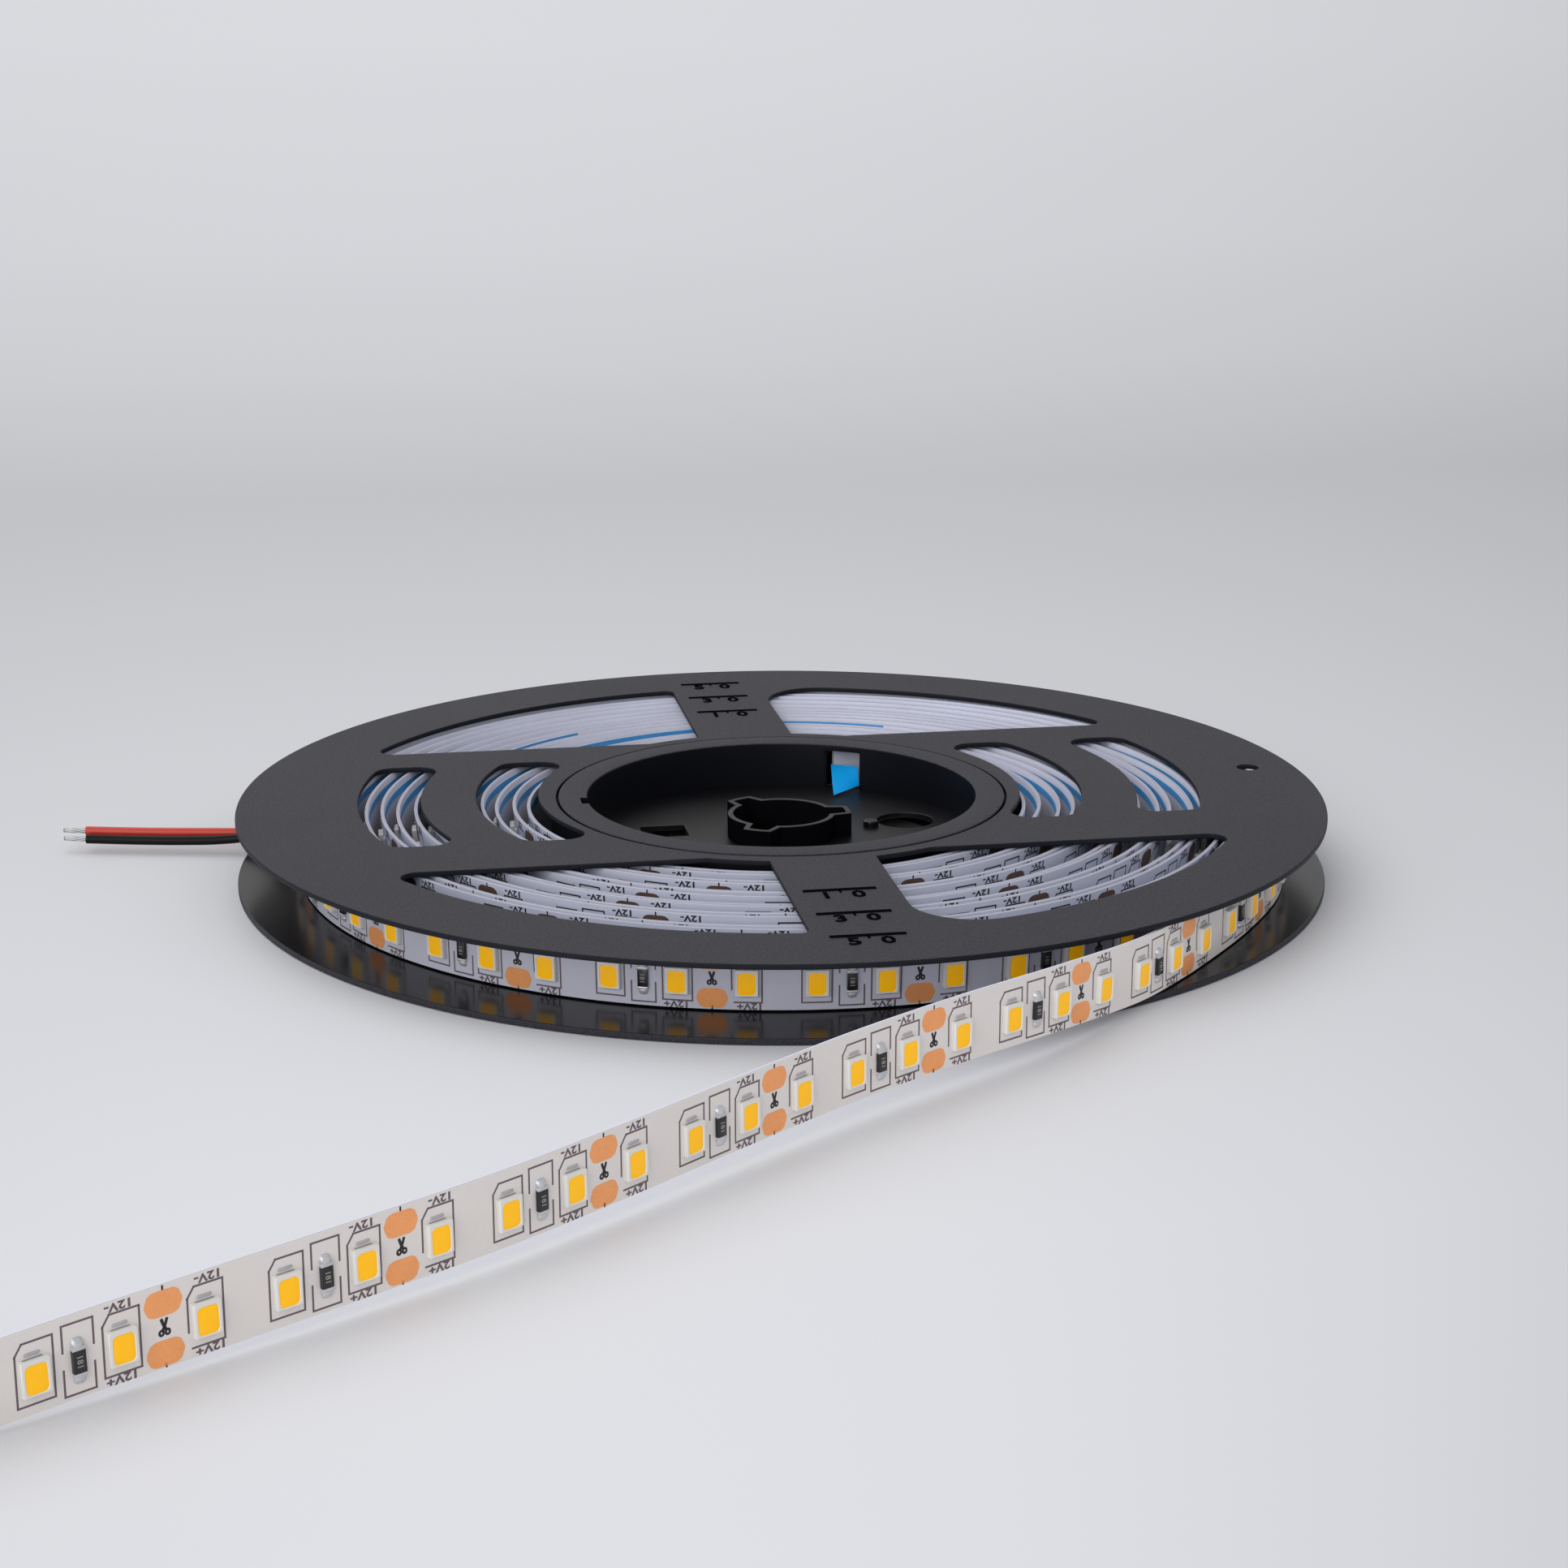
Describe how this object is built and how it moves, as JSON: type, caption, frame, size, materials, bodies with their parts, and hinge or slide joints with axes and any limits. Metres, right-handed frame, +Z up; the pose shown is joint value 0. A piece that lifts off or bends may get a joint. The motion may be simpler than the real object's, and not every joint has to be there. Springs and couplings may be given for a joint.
{
  "type": "led strip light reel",
  "caption": "Dark grey plastic reel of white flexible LED strip, lying flat with a run of the strip unwound in front and a red and black pair of leads.",
  "frame": {"origin": "centre of the footprint of the reel with its unwound run, on the table, leads left out", "axes": "+Z up along the reel axis, +Y from the unwound run towards the rear of the reel, +X to the right"},
  "size_m": [0.177, 0.2364, 0.0103],
  "materials": {
    "spool_plastic": "satin moulded",
    "strip_board": "white solder mask",
    "lamp_body": "white package with yellow phosphor",
    "resistor_body": "coated ceramic",
    "tape_blue": "film",
    "sleeve_red": "extruded",
    "sleeve_black": "extruded",
    "tinned_copper": "tinned"
  },
  "bodies": {
    "root": {"hub_and_lower_flange": "spool_plastic", "upper_flange": "spool_plastic", "led_strip": "strip_board", "led_01": "lamp_body", "led_02": "lamp_body", "led_03": "lamp_body", "led_04": "lamp_body", "led_05": "lamp_body", "led_06": "lamp_body", "led_07": "lamp_body", "led_08": "lamp_body", "led_09": "lamp_body", "led_10": "lamp_body", "led_11": "lamp_body", "led_12": "lamp_body", "led_13": "lamp_body", "led_14": "lamp_body", "led_15": "lamp_body", "led_16": "lamp_body", "led_17": "lamp_body", "led_18": "lamp_body", "led_19": "lamp_body", "led_20": "lamp_body", "led_21": "lamp_body", "led_22": "lamp_body", "led_23": "lamp_body", "led_24": "lamp_body", "led_25": "lamp_body", "led_26": "lamp_body", "resistor_01": "resistor_body", "resistor_02": "resistor_body", "resistor_03": "resistor_body", "resistor_04": "resistor_body", "resistor_05": "resistor_body", "resistor_06": "resistor_body", "resistor_07": "resistor_body", "resistor_08": "resistor_body", "tape_tab": "tape_blue", "lead_red": "sleeve_red", "lead_black": "sleeve_black", "lead_red_end": "tinned_copper", "lead_black_end": "tinned_copper"}
  },
  "joints": []
}
